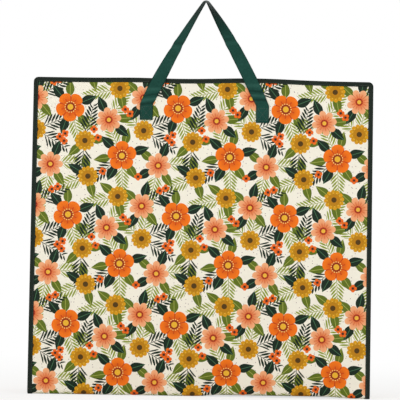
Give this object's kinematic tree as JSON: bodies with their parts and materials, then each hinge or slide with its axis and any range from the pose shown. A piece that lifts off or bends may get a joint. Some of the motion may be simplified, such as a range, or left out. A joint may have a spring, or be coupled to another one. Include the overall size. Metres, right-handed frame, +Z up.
{
  "type": "zip storage bag",
  "caption": "Large boxy soft storage bag of floral coated fabric with bound edges, a full-length zip top and webbing carry handles.",
  "frame": {"origin": "on the floor under the middle of the bag", "axes": "+Z up, the front panel faces -Y, +X to the right when facing the front"},
  "size_m": [0.65, 0.2923, 0.7532],
  "materials": {
    "printed_fabric": "matt laminated woven fabric with an all-over flower print",
    "binding_tape": "dark green ribbed binding tape",
    "webbing": "dark green woven polypropylene webbing",
    "zip_tape": "dark green woven zip tape",
    "zip_coil": "dark green nylon coil",
    "slider_metal": "gunmetal lacquered zinc",
    "sewing_thread": "dark green polyester thread"
  },
  "bodies": {
    "bag": {"body_sheet": "printed_fabric", "left_gusset": "printed_fabric", "right_gusset": "printed_fabric", "left_side_binding": "binding_tape", "right_side_binding": "binding_tape", "front_top_binding": "binding_tape", "back_top_binding": "binding_tape", "front_strip_hem": "printed_fabric", "back_strip_hem": "printed_fabric", "front_handle_ends": "webbing", "back_handle_ends": "webbing", "front_handle_stitching": "sewing_thread", "back_handle_stitching": "sewing_thread", "left_zip_tail": "zip_tape", "right_zip_tail": "zip_tape", "left_tail_coil": "zip_coil", "right_tail_coil": "zip_coil", "left_zip_end_tab": "webbing", "right_zip_end_tab": "webbing"},
    "front_flap": {"front_top_strip": "printed_fabric", "front_zip_tape": "zip_tape", "front_zip_coil": "zip_coil"},
    "back_flap": {"back_top_strip": "printed_fabric", "back_zip_tape": "zip_tape", "back_zip_coil": "zip_coil"},
    "slider": {"zip_slider": "slider_metal"},
    "puller": {"zip_puller": "slider_metal"},
    "front_handle": {"front_handle_loop": "webbing"},
    "back_handle": {"back_handle_loop": "webbing"}
  },
  "joints": [
    {"name": "front_flap_fold", "type": "hinge", "parent": "bag", "child": "front_flap", "pos_m": [0, -0.117, 0.595], "axis": [1, 0, 0], "range_deg": [0, 80]},
    {"name": "back_flap_fold", "type": "hinge", "parent": "bag", "child": "back_flap", "pos_m": [0, 0.117, 0.595], "axis": [-1, 0, 0], "range_deg": [0, 80]},
    {"name": "slider_travel", "type": "slide", "parent": "bag", "child": "slider", "axis": [1, 0, 0], "range_m": [-0.57, 0]},
    {"name": "puller_swing", "type": "hinge", "parent": "slider", "child": "puller", "pos_m": [0.285, 0, 0.5987], "axis": [0, -1, 0], "range_deg": [0, 175]},
    {"name": "front_handle_fold", "type": "hinge", "parent": "bag", "child": "front_handle", "pos_m": [0, -0.12175, 0.555], "axis": [1, 0, 0], "range_deg": [0, 173]},
    {"name": "back_handle_fold", "type": "hinge", "parent": "bag", "child": "back_handle", "pos_m": [0, 0.12175, 0.555], "axis": [1, 0, 0], "range_deg": [0, 173]}
  ]
}
